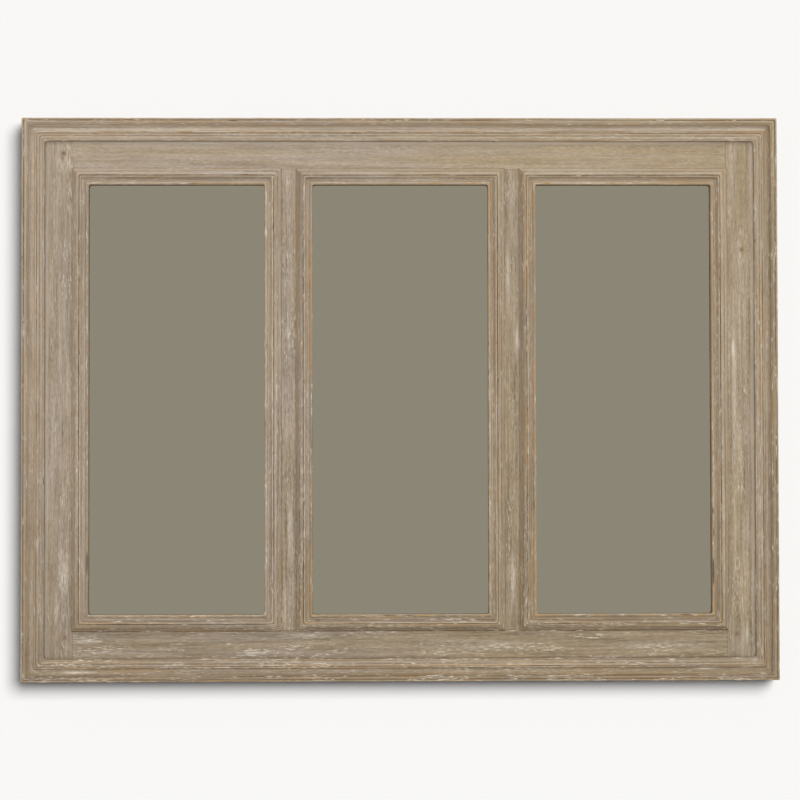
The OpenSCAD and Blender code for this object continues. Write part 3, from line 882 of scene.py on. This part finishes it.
@dataclass(frozen=True)
class OuterSection:
    """Outer moulding: a lip down the edge, a scratched flat band, a hollow, and four rounds.

    The hollow is given by its middle, the height of its centre and its radius, and a round by its middle, the
    height of its crest and its radius. The quirk is cut between two places, down to a height.
    """

    board: float = field(default_factory=lambda: size_of("left_stile", 1))
    lip: float = field(default_factory=lambda: step_between("outer_moulding_left", "left_stile", 0))
    front: float = field(default_factory=lambda: size_of("outer_moulding_left", 1))
    ease: float = 1.8
    scratches: tuple[float, ...] = (3.63, 8.8)
    scratch_r: float = 0.8
    hollow: tuple[float, float, float] = (19.0, 36.6, 7.8)
    rounds: tuple[tuple[float, float, float], ...] = (
        (21.9, 31.2, 1.9), (24.758, 30.368, 3.6), (29.842, 29.352, 4.6), (34.058, 28.508, 2.2))
    quirk: tuple[float, float, float] = (22.9, 23.7, 29.5)
    wall: float = 36.058
    zones: Zones = Zones(
        parts=((0, 10.4), (11.4, 13.5), (18, 21), (22.5, 36.3)),
        grime_and_shade_share=((6, 1.0), (7, 0.4), (9.5, 0.4), (11, 1.0), (17, 1.0), (18, 0.1), (22.6, 0.1), (23, 0.5),
               (33, 0.5), (35, 1.0)),
        # Grime with painted shade at the first scratch, at the end of the band and at the foot of the inner
        # wall
        seams=(3.7, 10.4, 35.7))

    def outline(self, wash: WashAndShading) -> Outline:
        """Draws the section.

        Args:
            wash: How the wash was left on it, with painted light and shade.

        Returns:
            The sampled section.
        """
        middle, centre, radius = self.hollow
        u = np.arange(0, self.rounds[-1][0] + self.rounds[-1][2], 0.01)
        start = 0.95 * self.ease
        eased = np.where(u < start, arc_over(u, start, self.front + 0.05 * self.ease, self.ease), self.front)
        band = np.minimum(eased, self.front)
        band = np.minimum(band, arc_under(u, middle, centre, radius))
        for x in self.scratches:
            band = np.minimum(band, arc_under(u, x, self.front + 0.3 * self.scratch_r, self.scratch_r))
        last, crown, r = self.rounds[-1]
        core = np.interp(u, [middle, *(x for x, _, _ in self.rounds), self.wall],
                         [centre - radius - 0.5, *(top - 0.7 * r for _, top, r in self.rounds), crown - r])
        beads = np.maximum.reduce([core, *(arc_over(u, *one) for one in self.rounds)])
        floor = np.where(u < self.rounds[0][0], arc_under(u, middle, centre, radius), -np.inf)
        top = np.where(u < middle, band, np.maximum(beads, floor))
        cut = (u > self.quirk[0]) & (u < self.quirk[1])
        top = np.where(cut, np.minimum(top, self.quirk[2]), top)
        foot = crown - r - math.sqrt(r**2 - (self.wall - last) ** 2)
        shown = [(0, 0), *zip(u, top), (last + r, crown - r), (self.wall, foot), (self.wall, self.board)]
        return Outline.sampled(shown, [(self.lip, self.board), (self.lip, 0)], wash, self.zones)


@dataclass(frozen=True)
class PanelSection:
    """Panel moulding: a slope up to a round crest, a strip, a hollow, and a bead at the sight edge.

    Hollow, crest and bead are given as on the outer moulding, and quirk and strip by their start and height.
    """

    board: float = field(default_factory=lambda: size_of("left_stile", 1))
    glass_depth: float = field(default_factory=lambda: step_between("left_stile", "left_mirror_pane", 1))
    lap: float = 2
    width: float = 27.2
    slope: float = 5.5
    slope_top: float = 28.8
    crest: tuple[float, float, float] = (11.58, 31.0, 9.5)
    crest_edge: float = 11.98
    quirk: tuple[float, float] = (12.78, 29.1)
    strip: tuple[float, float] = (15.18, 30.0)
    hollow: tuple[float, float, float] = (20.4, 29.9, 5.4)
    bead: tuple[float, float, float] = (24.7, 27.0, 2.5)
    wall: float = 27.0
    zones: Zones = Zones(
        parts=((0, 5.5), (7, 12), (13, 21.5), (23, 25.5), (26.5, 27.2)),
        grime_and_shade_share=((19.5, 0.8), (20, 0.1), (23.5, 0.1), (24, 0.8)),
        # Painted shade, with grime, at the foot and at the top of the slope
        seams=(0.3, 6.0))

    def outline(self, wash: WashAndShading) -> Outline:
        """Draws the section.

        Args:
            wash: How the wash was left on it, with painted light and shade.

        Returns:
            The sampled section.
        """
        u = np.arange(0, self.width, 0.01)
        middle, centre, radius = self.hollow
        last, crown, r = self.bead
        top = np.interp(u, [0, self.slope], [self.board, self.slope_top])
        top = np.where(u > self.slope, arc_over(u, *self.crest), top)
        top = np.where((u > self.crest[0]) & (u <= self.crest_edge), self.crest[1], top)
        top = np.where(u > self.crest_edge, self.quirk[1], top)
        strip = np.minimum(self.strip[1], arc_under(u, middle, centre, radius))
        top = np.where(u > self.quirk[0], strip, top)
        core = np.interp(u, [middle, last, self.wall], [centre - radius - 0.5, crown - 0.7 * r, crown - r])
        floor = np.where(u < last, arc_under(u, middle, centre, radius), -np.inf)
        top = np.where(u > middle, np.maximum.reduce([core, floor, arc_over(u, *self.bead)]), top)
        foot = crown - r - math.sqrt(r**2 - (self.wall - last) ** 2)
        glass = self.board - self.glass_depth
        shown = [*zip(u, top), (self.width, crown - r), (self.wall, foot), (self.wall, glass)]
        return Outline.sampled(shown, [(self.lap, glass), (self.lap, self.board)], wash, self.zones)


@dataclass(frozen=True)
class Chip:
    """Where an edge is knocked off: place along the length, in from the outer edge, and its half sizes."""

    along: float
    u: float
    length: float
    width: float
    depth: float


@dataclass
class MitredLength:
    """One length of moulding with mitred ends, lightly worn and waxed along its run.

    Sizes are in millimetres: the spacing of the rings, the radius at which the section's lines turn a corner
    and how that grows inward, how deep waves and dents go, how wide and deep the open line at a mitre is, and
    how far from a mitre the hand work starts.
    """

    node: str
    side: Side
    width: float
    height: float
    outline: Outline
    finish: LimedMoulding
    seed: int
    centre_x: float = 0.0
    chips: tuple[Chip, ...] = ()
    pitch: float = 4.0
    corner_radius: float = 2.4
    corner_growth: float = 0.07
    wave: float = 0.2
    dent: float = 0.12
    open_width: float = 0.6
    open_depth: float = 0.22
    fade: float = 14.0

    def stations(self, length: float) -> np.ndarray:
        """Places the rings of the sweep, closer together beside the mitres.

        Args:
            length: Full length of this side.

        Returns:
            Shares of the length, from 0 to 1.
        """
        near, first = np.array([0, 0.35, 0.9, 1.8, 3.0, 4.6, 6.6]), 9
        middle = np.linspace(first, length - first, int((length - 2 * first) / self.pitch) + 1)
        return np.concatenate([near, middle, length - near[::-1]]) / length

    def random_chips(self, length: float) -> list[Chip]:
        """Knocks small chips off the crests, one for about 90 mm.

        Args:
            length: Full length of this side.

        Returns:
            The chips.
        """
        rng = np.random.default_rng(self.seed + 500)
        crests = self.outline.points[self.outline.crest > 0.6, 0]
        return [Chip(rng.uniform(40, length - 40), rng.choice(crests), rng.uniform(4, 12),
                     rng.uniform(0.8, 1.6), rng.uniform(0.2, 0.5)) for _ in range(int(length / 90))]

    def corner(self, from_mitre: np.ndarray, u: np.ndarray) -> np.ndarray:
        """Rounds the lines of the section off where they turn the corner.

        Args:
            from_mitre: Distance of each ring from the nearer mitre.
            u: Place of each line in from the outer edge.

        Returns:
            How far each point moves inward.
        """
        radius = self.corner_radius + self.corner_growth * u
        angle = math.pi / 4 + np.arcsin(np.clip(from_mitre / (math.sqrt(2) * radius), 0, math.sqrt(0.5)))
        return radius * (1 - np.sin(angle))

    def hand_work(self, run: np.ndarray, length: float) -> tuple[np.ndarray, ...]:
        """Says how the moulding is worn, waxed, dented and knocked at each point.

        Args:
            run: Distance of each ring from the start.
            length: Full length of this side.

        Returns:
            Share of the wear, share of the wax, millimetres along the normal, and how bare the wood is.
        """
        shape, arc = self.outline, self.outline.arc[None, :]
        from_mitre = np.minimum(run, length - run)
        free = np.clip(from_mitre / self.fade, 0, 1)
        free = free * free * (3 - 2 * free)
        grit = [Grit(self.seed * 7 + k) for k in range(3)]
        # Wear and wax change over some 40 mm of the run, and are even beside the mitres
        wear, wax = (
            even + free * (np.clip(gain * noise - less, 0, most) - even)
            for noise, gain, less, most, even in ((grit[0](run / 37, arc / 7), 2.4, 0.4, 1.6, 0.6),
                                                  (grit[1](run / 52, arc / 5), 2.6, 0.7, 1.3, 0.8)))
        shift = free * (-self.wave * grit[2](run / 29, arc / 9) - self.dent * grit[0](run / 8.3, arc / 4))
        shift = shift - self.open_depth * np.clip(1 - from_mitre / self.open_width, 0, 1)
        bare = np.zeros_like(shift + arc)
        for chip in (*self.chips, *self.random_chips(length)):
            place = shape.arc_of(chip.u)
            near = ((run - chip.along) / chip.length) ** 2 + ((arc - place) / chip.width) ** 2
            knocked = np.clip(1 - near, 0, 1) ** 2 * ~shape.hidden
            shift = shift - chip.depth * knocked
            bare = np.maximum(bare, np.clip(3 * chip.depth * knocked, 0, 1))
        return wear, wax, shift, bare

    def swept(self) -> bpy.types.Mesh:
        """Sweeps the worn section, closes its ends, and notes grain, marks and wash with painted shading for
        the finish.

        Returns:
            The mesh.
        """
        shape = self.outline
        length = self.side.length(self.width, self.height)
        share = self.stations(length)[:, None]
        run, arc = share * length, shape.arc[None, :]
        from_mitre = np.minimum(run, length - run)
        wear, wax, shift, bare = self.hand_work(run, length)
        ends = np.clip(np.minimum(arc, shape.arc[~shape.hidden][-1] - arc), 0, 1) * ~shape.hidden
        section = shape.points[None]
        for amount, way in ((wear, shape.wear), (wax, shape.wax), (shift, shape.normals)):
            section = section + (amount * ends)[..., None] * way[None]
        u, d = section[..., 0], section[..., 1]
        u = u + ends * self.corner(from_mitre, u)
        s = u + share * (length - 2 * u)
        _, corner, along, inward = self.side.value
        x = self.centre_x + corner[0] * self.width / 2 + along[0] * s + inward[0] * u
        z = corner[1] * self.height / 2 + along[1] * s + inward[1] * u
        rings, ring = u.shape
        index = np.arange(rings * ring).reshape(rings, ring)
        here, there = index[:-1], index[1:]
        quads = np.stack([here, np.roll(here, -1, axis=1), np.roll(there, -1, axis=1), there], axis=-1)
        faces = [*quads.reshape(-1, 4).tolist(), index[0, ::-1].tolist(), index[-1].tolist()]
        mesh = bpy.data.meshes.new(f"worn_{self.node}")
        mesh.from_pydata((np.stack([x, -d, z], axis=-1) * MM).reshape(-1, 3).tolist(), [], faces)
        # The wash is rubbed off the crests, and for 16 mm on either side of a mitre
        at_mitre = np.clip(1 - from_mitre / 16, 0, 1) * np.clip(shape.crest + 0.35, 0, 1)
        rubbed = np.maximum(shape.crest * np.clip(0.5 + wear, 0, 1), 0.8 * at_mitre)
        for label, kind, key, values in (
            ("grain", "FLOAT_VECTOR", "vector", (arc, self.seed * 40.0, s)),
            # Grime with painted shade in the quirks, rubbing on the crests, and chips
            ("wear", "FLOAT_VECTOR", "vector", (shape.quirk, rubbed, bare)),
            # The wash tone, with painted light and shade
            ("wash", "FLOAT", "value", (shape.wash,)),
        ):
            layer = mesh.attributes.new(label, kind, "POINT")
            table = np.stack([np.broadcast_to(value, s.shape) for value in values], axis=-1)
            layer.data.foreach_set(key, table.astype(np.float32).ravel())
        mesh.shade_smooth()
        mesh.set_sharp_from_angle(angle=math.radians(50))
        return mesh

    def build(self) -> None:
        """Builds and dresses the length, which stands for the solid of its name."""
        piece = bpy.data.objects.new(f"worn_{self.node}", self.swept())
        piece.data.materials.append(self.finish.build())
        bpy.context.scene.collection.objects.link(piece)
        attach(piece, "frame")
        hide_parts(self.node)
        log.info("%s: %d faces", piece.name, len(piece.data.polygons))


@dataclass
class OuterMoulding:
    """The four mitred lengths round the outside of the frame.

    Streaks of thick wax are placed by x, in from the outer edge, and z, along the length.
    """

    width: float = field(default_factory=lambda: size_of("outer_moulding_top", 0))
    height: float = field(default_factory=lambda: size_of("outer_moulding_left", 2))
    section: OuterSection = field(default_factory=OuterSection)
    # Each side's tones hold painted light and shade as well as the wash: the top's hollow paler, the right's
    # hollow flank and the bottom's band darker, as light falls from above and the right. The bottom's extra
    # lines are painted shade, with some grime in the scratch.
    washes_and_shading: dict[Side, WashAndShading] = field(default_factory=lambda: {
        Side.TOP: WashAndShading((1.05, 1.07, 1.7, 1.24), grime_and_shade=1.1, flecks=0.6),
        Side.BOTTOM: WashAndShading((0.93, 0.98, 1.14, 1.22), grime_and_shade=1.3, flecks=0.95, seams=(8.4, 20.9)),
        Side.LEFT: WashAndShading((1.1, 1.02, 1.38, 1.12), flecks=0.5),
        Side.RIGHT: WashAndShading((1.04, 0.74, 1.32, 1.18), grime_and_shade=1.2, flecks=0.7),
    })
    thick_wax: dict[Side, tuple[Streak, ...]] = field(default_factory=lambda: {
        Side.BOTTOM: (Streak(15.0, 1108, 44, 3.8, 1.0, 0.12), Streak(18.3, 120, 24, 2.6, 0.9, 0.1),
                      Streak(10.0, 152, 24, 2.6, 0.7)),
    })

    def build(self) -> None:
        """Builds and dresses the four lengths."""
        for i, side in enumerate(Side):
            node, wash = f"outer_moulding_{side.label}", self.washes_and_shading[side]
            outline = self.section.outline(wash)
            streaks = tuple(replace(one, x=outline.arc_of(one.x)) for one in self.thick_wax.get(side, ()))
            finish = LimedMoulding(f"limed_{node}", seed=2.0 + i, streaks=streaks, rub=wash.rub,
                                   wax_share=wash.flecks)
            MitredLength(node, side, self.width, self.height, outline, finish, seed=10 + i).build()


@dataclass
class PanelMouldings:
    """The four mitred lengths round each pane.

    Each side has its wash, with light and shade painted into it, and the lengths on the mullions have their
    own.
    """

    width: float = field(default_factory=lambda: size_of("left_panel_moulding_top", 0))
    height: float = field(default_factory=lambda: size_of("left_panel_moulding_left", 2))
    pitch: float = field(default_factory=lambda: step_between("left_mirror_pane", "centre_mirror_pane", 0))
    section: PanelSection = field(default_factory=PanelSection)
    # Tones hold painted light and shade as well as the wash: faces toward the light from the upper right are
    # paler, those away from it darker. The bottom's extra line is a painted shadow at its slope.
    washes_and_shading: dict[Side, WashAndShading] = field(default_factory=lambda: {
        Side.TOP: WashAndShading((1.22, 1.2, 1.18, 1.27, 0.9)),
        Side.BOTTOM: WashAndShading((0.84, 0.84, 1.3, 0.92, 1.45), grime_and_shade=1.3, flecks=0.8, seams=(1.3,)),
        Side.LEFT: WashAndShading((0.95, 1.02, 1.24, 0.9, 1.0), grime_and_shade=0.8, rub=0.6),
        Side.RIGHT: WashAndShading((1.32, 1.24, 1.18, 1.3, 0.78), grime_and_shade=1.1),
    })
    # The mullion lengths' tones also hold painted light and shade
    on_mullions: dict[str, WashAndShading] = field(default_factory=lambda: {
        "left_panel_moulding_right": WashAndShading((1.08, 1.03, 1.42, 1.3, 0.78), grime_and_shade=1.1, rub=0.65),
        "centre_panel_moulding_left": WashAndShading((0.88, 0.84, 1.24, 0.9, 1.05), grime_and_shade=0.8),
        "centre_panel_moulding_right": WashAndShading((1.16, 1.01, 1.3, 1.3, 0.78), grime_and_shade=1.1),
        "right_panel_moulding_left": WashAndShading((0.72, 0.72, 1.15, 0.9, 1.0), grime_and_shade=0.8, rub=1.2),
    })
    chips: dict[str, tuple[Chip, ...]] = field(default_factory=lambda: {
        "left_panel_moulding_left": (Chip(90, 25.6, 26, 2.4, 0.8),),
        "right_panel_moulding_right": (Chip(664, 25.8, 30, 3.0, 0.9), Chip(560, 25.8, 8, 2.0, 0.6)),
        "right_panel_moulding_bottom": (Chip(52, 25.6, 15, 1.6, 0.6), Chip(84, 25.6, 8, 1.6, 0.5)),
        "centre_panel_moulding_bottom": (Chip(190, 25.4, 20, 1.5, 0.5), Chip(150, 25.4, 10, 1.5, 0.5),
                                         Chip(314, 18, 5, 2.5, 0.4)),
    })

    def build(self) -> None:
        """Builds and dresses the twelve lengths."""
        for i, bay in enumerate(BAYS):
            for j, side in enumerate(Side):
                node = f"{bay}_panel_moulding_{side.label}"
                wash = self.on_mullions.get(node, self.washes_and_shading[side])
                finish = LimedMoulding(f"limed_{node}", seed=20.0 + 4 * i + j, rub=wash.rub,
                                       wax_share=wash.flecks)
                MitredLength(node, side, self.width, self.height, self.section.outline(wash), finish,
                             seed=30 + 4 * i + j, centre_x=(i - 1) * self.pitch,
                             chips=self.chips.get(node, ()), pitch=3.6, corner_growth=0.05).build()


# The other sub-assemblies


@dataclass
class Carcass:
    """The six boards: two stiles, two rails and two mullions."""

    boards: dict[str, LimedPine] = field(default_factory=lambda: {
        "left_stile": LimedPine(
            "limed_left_stile", 1.0, wax_share=0.7, figure=0.9, tone=0.99,
            knots=(Knot(-535, 392, 8), Knot(-532, -378, 8, 0.5), Knot(-549, -214, 1.6)),
            # The first streak is painted light: a pale band along the outer moulding, lifting the shade
            # beside it
            streaks=(Streak(-561.5, 0, 900, 5, 0.4, 0.4), Streak(-531, 385, 38, 17, 0.75),
                     Streak(-534, -282, 44, 15, 0.8), Streak(-545, -330, 40, 6, 0.7))),
        "right_stile": LimedPine(
            "limed_right_stile", 2.0, wax_share=0.7, figure=1.1, tone=1.0,
            knots=(Knot(545, 238, 7, 0.6), Knot(534, -374, 7, 0.5)),
            streaks=(Streak(540, -392, 46, 30, 0.2, 0.34), Streak(549, -374, 30, 6, 0.6, 0.1),
                     # The streak at 561.5 is painted light: a pale band along the outer moulding, lifting the
                     # shade beside it
                     Streak(561.5, 0, 900, 5, 0.45, 0.4), Streak(531, 79, 30, 5, 1.0, 0.15),
                     Streak(532, 0, 330, 6, 0.5, 0.05))),
        "top_rail": LimedPine(
            "limed_top_rail", 3.0, Along.LEVEL, wax_share=0.4, figure=0.8, tone=1.05,
            # The streak is painted light: a pale band along the outer moulding, lifting the shade beside it
            knots=(Knot(-512, 387, 1.3),), streaks=(Streak(0, 408.5, 1200, 5, 0.45, 0.4),)),
        "bottom_rail": LimedPine(
            "limed_bottom_rail", 4.0, Along.LEVEL, wax_share=1.0, figure=0.85, tone=1.0,
            streaks=(Streak(-500, -382, 34, 7, 0.75), Streak(-280, -412, 85, 3.5, 0.6),
                     Streak(-150, -376, 60, 6, 0.6), Streak(-236, -402, 30, 3, 0.9),
                     Streak(120, -392, 150, 14, 0.35), Streak(420, -392, 110, 10, 0.45))),
        "left_mullion": LimedPine(
            "limed_left_mullion", 5.0, wax_share=0.7, figure=1.1, tone=1.04,
            streaks=(Streak(-178, 345, 16, 4), Streak(-184, -330, 60, 5, 0.6),
                     Streak(-175, -205, 85, 7, 0.55, 0.03))),
        "right_mullion": LimedPine(
            "limed_right_mullion", 6.5, wax_share=0.6, figure=1.15, tone=0.93,
            streaks=(Streak(171, 205, 55, 5, 0.7, 0.05), Streak(186, 92, 45, 5, 0.7, 0.05),
                     Streak(178, -285, 60, 6, 0.7, 0.05))),
    })

    def build(self) -> None:
        """Dresses the boards."""
        for node, finish in self.boards.items():
            dress(node, finish.build())
            log.info("%s dressed", node)


@dataclass
class Panes:
    """The three mirror panes and the beads that hold them from behind."""

    bays: tuple[str, ...] = BAYS
    silver: SilveredGlass = SilveredGlass()

    def build(self) -> None:
        """Dresses the panes and beads."""
        silver = self.silver.build()
        pine = {way: BarePine(f"bare_pine_{way.value}", way).build() for way in Along}
        for bay in self.bays:
            dress(f"{bay}_mirror_pane", silver)
            for side in Side:
                dress(f"{bay}_glazing_bead_{side.label}", pine[side.along])
            log.info("%s pane and its glazing beads dressed", bay)


@dataclass
class BackPanel:
    """The thin panel in the back of the frame, with its screws."""

    board: Hardboard = Hardboard()
    screws: ZincPlate = ZincPlate("zinc_back_screws", roughness=0.36)

    def build(self) -> None:
        """Dresses the panel and its screws."""
        dress("back_panel", self.board.build())
        dress("back_panel_screws", self.screws.build())
        log.info("back panel and screws dressed")


@dataclass
class Hangers:
    """The two D-ring hangers and the two wall bumpers."""

    strap: ZincPlate = ZincPlate("zinc_straps")
    screws: ZincPlate = ZincPlate("zinc_hanger_screws", roughness=0.36)
    ring: ZincPlate = ZincPlate("zinc_wire", colour="#c0c3c5", roughness=0.24)
    bumper: MouldedRubber = MouldedRubber()

    def build(self) -> None:
        """Dresses straps, screws, rings and bumpers."""
        pieces = {"hanger_strap": self.strap, "hanger_screws": self.screws, "hanger_ring": self.ring,
                  "bumper": self.bumper}
        for piece, finish in pieces.items():
            material = finish.build()
            for side in (Side.LEFT, Side.RIGHT):
                dress(f"{side.label}_{piece}", material)
                log.info("%s %s dressed", side.label, piece)


@dataclass
class Studio:
    """Camera, light and background paper.

    The room's light from a direction is ambient plus slope times how far that direction points toward the
    brightest one. A lamp for the paper alone casts the shadow on it. The paper hangs on the wall, 0.3 mm
    behind the bumpers. Places are in metres and turns in degrees.
    """

    ambient: float = 0.96
    slope: float = 0.42
    toward: tuple[float, float, float] = (0.27, 0.0, 0.963)
    lamp_light: float = 15.0
    lamp_spread: float = 37
    lamp_right: float = 20.8
    lamp_up: float = 18.4
    wall: float = field(default_factory=lambda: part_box("left_bumper")[1][1] + 0.3 * MM)
    reach: float = 4.0
    sensor: float = 36
    lens: float = 112.65
    camera_at: tuple[float, float, float] = (-0.0728, -4.0, -0.1069)
    camera_turn: tuple[float, float, float] = (91.517, 0.104, -1.035)
    paper: StudioPaper = StudioPaper()

    def sheet(self) -> bpy.types.Object:
        """Hangs the sheet of paper on the wall behind the mirror.

        Returns:
            The sheet.
        """
        y, far = self.wall, self.reach
        mesh = bpy.data.meshes.new("paper_wall")
        mesh.from_pydata([(-far, y, -far), (far, y, -far), (far, y, far), (-far, y, far)], [], [(0, 1, 2, 3)])
        mesh.materials.append(self.paper.build())
        sheet = bpy.data.objects.new("paper_wall", mesh)
        bpy.context.scene.collection.objects.link(sheet)
        return sheet

    def paper_lamp(self, sheet: bpy.types.Object) -> None:
        """Adds a broad, far lamp from the upper right that lights the paper alone.

        Args:
            sheet: The sheet of paper.
        """
        data = bpy.data.lights.new("paper_lamp", "SUN")
        data.energy = self.lamp_light * math.pi
        data.angle = math.radians(self.lamp_spread)
        lamp = bpy.data.objects.new("paper_lamp", data)
        lamp.rotation_euler = (math.radians(90 - self.lamp_up), 0, math.radians(self.lamp_right))
        lamp.visible_glossy = False
        bpy.context.scene.collection.objects.link(lamp)
        lit = bpy.data.collections.new("paper")
        lit.objects.link(sheet)
        lamp.light_linking.receiver_collection = lit

    def world(self) -> None:
        """Lights the object from all round, more from above, with white where camera and mirror look."""
        world = bpy.data.worlds.new("studio")
        world.use_nodes = True
        tree = world.node_tree
        tree.nodes.clear()
        seen = add(tree, "LightPath", out="Is Camera Ray")
        for ray in ("Is Glossy Ray", "Is Transmission Ray"):
            seen = add(tree, "Math", {0: seen, 1: add(tree, "LightPath", out=ray)}, operation="MAXIMUM")
        way = add(tree, "TexCoord", out="Generated")
        facing = add(tree, "VectorMath", {0: way, 1: self.toward}, out="Value", operation="DOT_PRODUCT")
        soft = add(tree, "MapRange", {"Value": facing, 1: -1.0, 2: 1.0, 3: self.ambient - self.slope,
                                      4: self.ambient + self.slope})
        strength = add(tree, "Mix", {0: seen, 2: soft, 3: 1.0}, data_type="FLOAT")
        light = add(tree, "Background", {"Color": (1, 1, 1, 1), "Strength": strength})
        add(tree, "OutputWorld", {"Surface": light})
        bpy.context.scene.world = world

    def camera(self) -> None:
        """Sets the camera up where the picture was taken from."""
        data = bpy.data.cameras.new("camera")
        data.sensor_width = self.sensor
        data.lens = self.lens
        data.clip_end = 50
        camera = bpy.data.objects.new("camera", data)
        camera.location = self.camera_at
        camera.rotation_euler = [math.radians(turn) for turn in self.camera_turn]
        bpy.context.scene.collection.objects.link(camera)
        bpy.context.scene.camera = camera

    def build(self) -> None:
        """Sets up the studio."""
        self.camera()
        self.world()
        self.paper_lamp(self.sheet())
        bpy.context.scene.view_settings.view_transform = "Standard"
        log.info("studio set up")


def main() -> None:
    """Builds and dresses every sub-assembly, then the studio."""
    logging.basicConfig(level=logging.INFO, format="%(name)s: %(message)s")
    for assembly in (Carcass(), OuterMoulding(), PanelMouldings(), Panes(), BackPanel(), Hangers(), Studio()):
        log.info("building %s", type(assembly).__name__)
        assembly.build()


if __name__ == "__main__":
    main()
